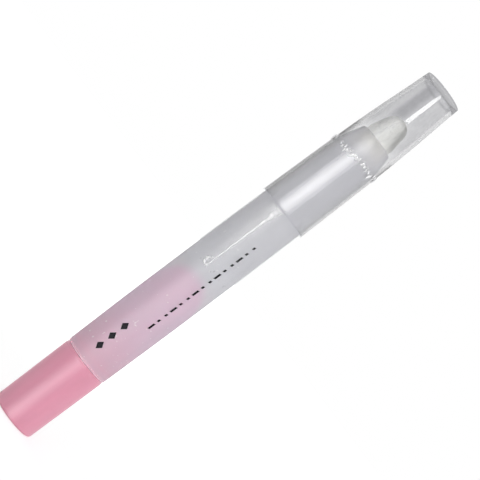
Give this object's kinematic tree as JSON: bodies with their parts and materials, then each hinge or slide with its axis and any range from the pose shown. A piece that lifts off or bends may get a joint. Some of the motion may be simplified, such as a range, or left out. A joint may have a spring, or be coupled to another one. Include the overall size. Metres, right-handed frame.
{
  "type": "twist-up eyeliner pen",
  "caption": "Chubby twist-up eyeliner pen: pink turning knob, frosted barrel with a conical nose, white core and a clear pull-off cap.",
  "frame": {"origin": "centre of the knob's flat end, on which the pen stands", "axes": "+Z along the pen's axis, from the knob to the end of the cap; +X through one of the push rod's pins"},
  "size_m": [0.0138, 0.0138, 0.1194],
  "materials": {
    "pink_plastic": "satin gloss moulded plastic",
    "silicone": "matt pink silicone",
    "frosted_plastic": "frosted translucent plastic",
    "natural_plastic": "natural white moulded plastic",
    "core_wax": "matt white cosmetic wax",
    "clear_plastic": "clear gloss plastic",
    "film": "clear shrink film"
  },
  "bodies": {
    "barrel": {"barrel": "frosted_plastic", "nose": "frosted_plastic", "guide_tube": "natural_plastic", "guide_plug": "natural_plastic", "seal_film_rear": "film"},
    "knob": {"knob": "pink_plastic", "spiral_sleeve": "pink_plastic", "brake_ring": "silicone"},
    "core_carrier": {"push_rod": "natural_plastic", "core_cup": "natural_plastic", "core": "core_wax"},
    "cap": {"cap": "clear_plastic", "seal_film_front": "film"}
  },
  "joints": [
    {"name": "knob_twist", "type": "hinge", "parent": "barrel", "child": "knob", "pos_m": [0, 0, 0.0203], "axis": [0, 0, 1], "range_deg": [-342, 396]},
    {"name": "core_feed", "type": "slide", "parent": "barrel", "child": "core_carrier", "axis": [0, 0, 1], "range_m": [-0.0076, 0.0088]},
    {"name": "cap_pull", "type": "slide", "parent": "barrel", "child": "cap", "axis": [0, 0, 1], "range_m": [0, 0.05]}
  ],
  "couplings": [
    {"joint": "core_feed", "follows": "knob_twist", "m_per_rad": 0.0012732}
  ]
}
